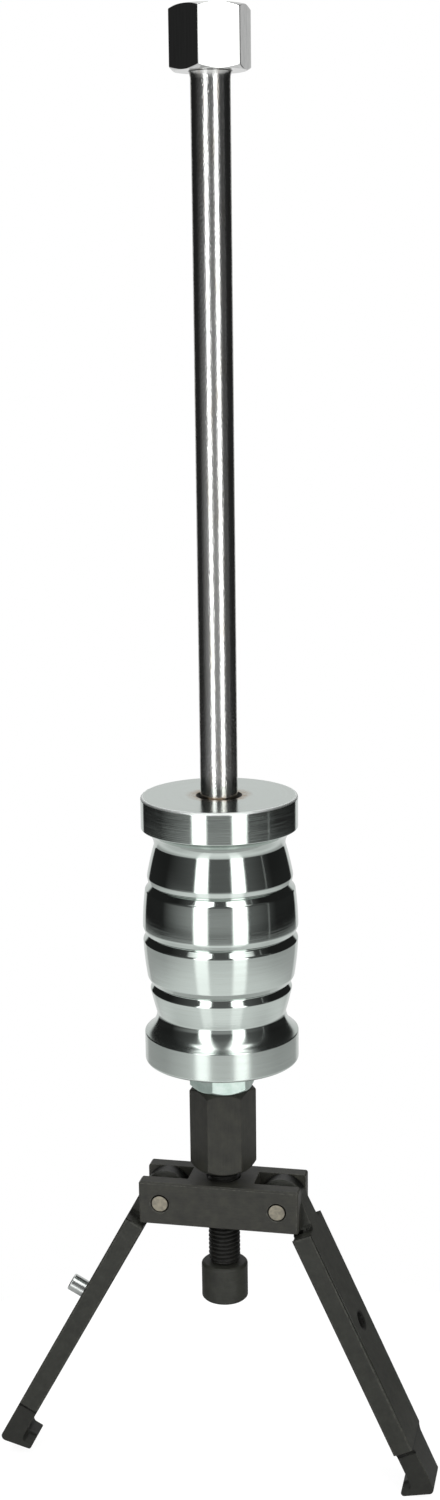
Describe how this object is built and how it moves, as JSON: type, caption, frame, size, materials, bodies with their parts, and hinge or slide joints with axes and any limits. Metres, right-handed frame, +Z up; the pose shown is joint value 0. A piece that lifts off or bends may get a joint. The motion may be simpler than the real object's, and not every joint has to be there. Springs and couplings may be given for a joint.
{
  "type": "slide hammer puller",
  "caption": "Slide hammer puller: a grooved weight slides on a rod above a crosshead with swinging claw legs; a screwed spindle with a pressure cap runs through it.",
  "frame": {"origin": "centre of the crosshead: on the spindle's axis, level with the two pivot pins, midway between the front and back faces", "axes": "+Z up along the rod towards the end nut, +X from the left leg to the right leg, +Y to the back along the pivot pins"},
  "size_m": [0.2535, 0.084, 0.7934],
  "materials": {
    "polished_chrome": "polished chrome plate",
    "bright_rod": "ground and polished bright",
    "turned_steel": "fine turned and polished, nickel plated",
    "zinc_plate": "zinc plated, satin",
    "zinc_stud": "zinc plated, bright",
    "black_oxide": "black oxide, matt, with worn edges",
    "ground_pin": "ground, satin",
    "hard_ball": "hardened and polished",
    "spring_wire": "drawn spring wire, oiled"
  },
  "bodies": {
    "frame": {"crosshead": "black_oxide", "left_pivot_pin": "ground_pin", "right_pivot_pin": "ground_pin"},
    "left_leg": {"left_leg": "black_oxide", "leg_stud": "zinc_stud"},
    "right_leg": {"right_leg": "black_oxide"},
    "cap": {"pressure_cap": "black_oxide", "thrust_ball": "hard_ball", "cap_retaining_ring": "spring_wire"},
    "spindle_and_rod": {"pressure_spindle": "black_oxide", "coupling_nut": "black_oxide", "lock_nut": "zinc_plate", "slide_rod": "bright_rod", "end_nut": "polished_chrome"},
    "weight": {"sliding_weight": "turned_steel"}
  },
  "joints": [
    {"name": "left_leg_swing", "type": "hinge", "parent": "frame", "child": "left_leg", "pos_m": [-0.033, 0, 0], "axis": [0, 1, 0], "range_deg": [-36.4, 126.6]},
    {"name": "right_leg_swing", "type": "hinge", "parent": "frame", "child": "right_leg", "pos_m": [0.033, 0, 0], "axis": [0, -1, 0], "range_deg": [-32.3, 130.7]},
    {"name": "cap_feed", "type": "slide", "parent": "frame", "child": "cap", "axis": [0, 0, 1], "range_m": [-0.00625, 0.025]},
    {"name": "spindle_turn", "type": "hinge", "parent": "cap", "child": "spindle_and_rod", "pos_m": [0, 0, 0], "axis": [0, 0, 1], "range_deg": [-900, 3600]},
    {"name": "weight_slide", "type": "slide", "parent": "spindle_and_rod", "child": "weight", "axis": [0, 0, 1], "range_m": [0, 0.3625]}
  ],
  "couplings": [
    {"joint": "cap_feed", "follows": "spindle_turn", "m_per_rad": 0.00039789}
  ]
}
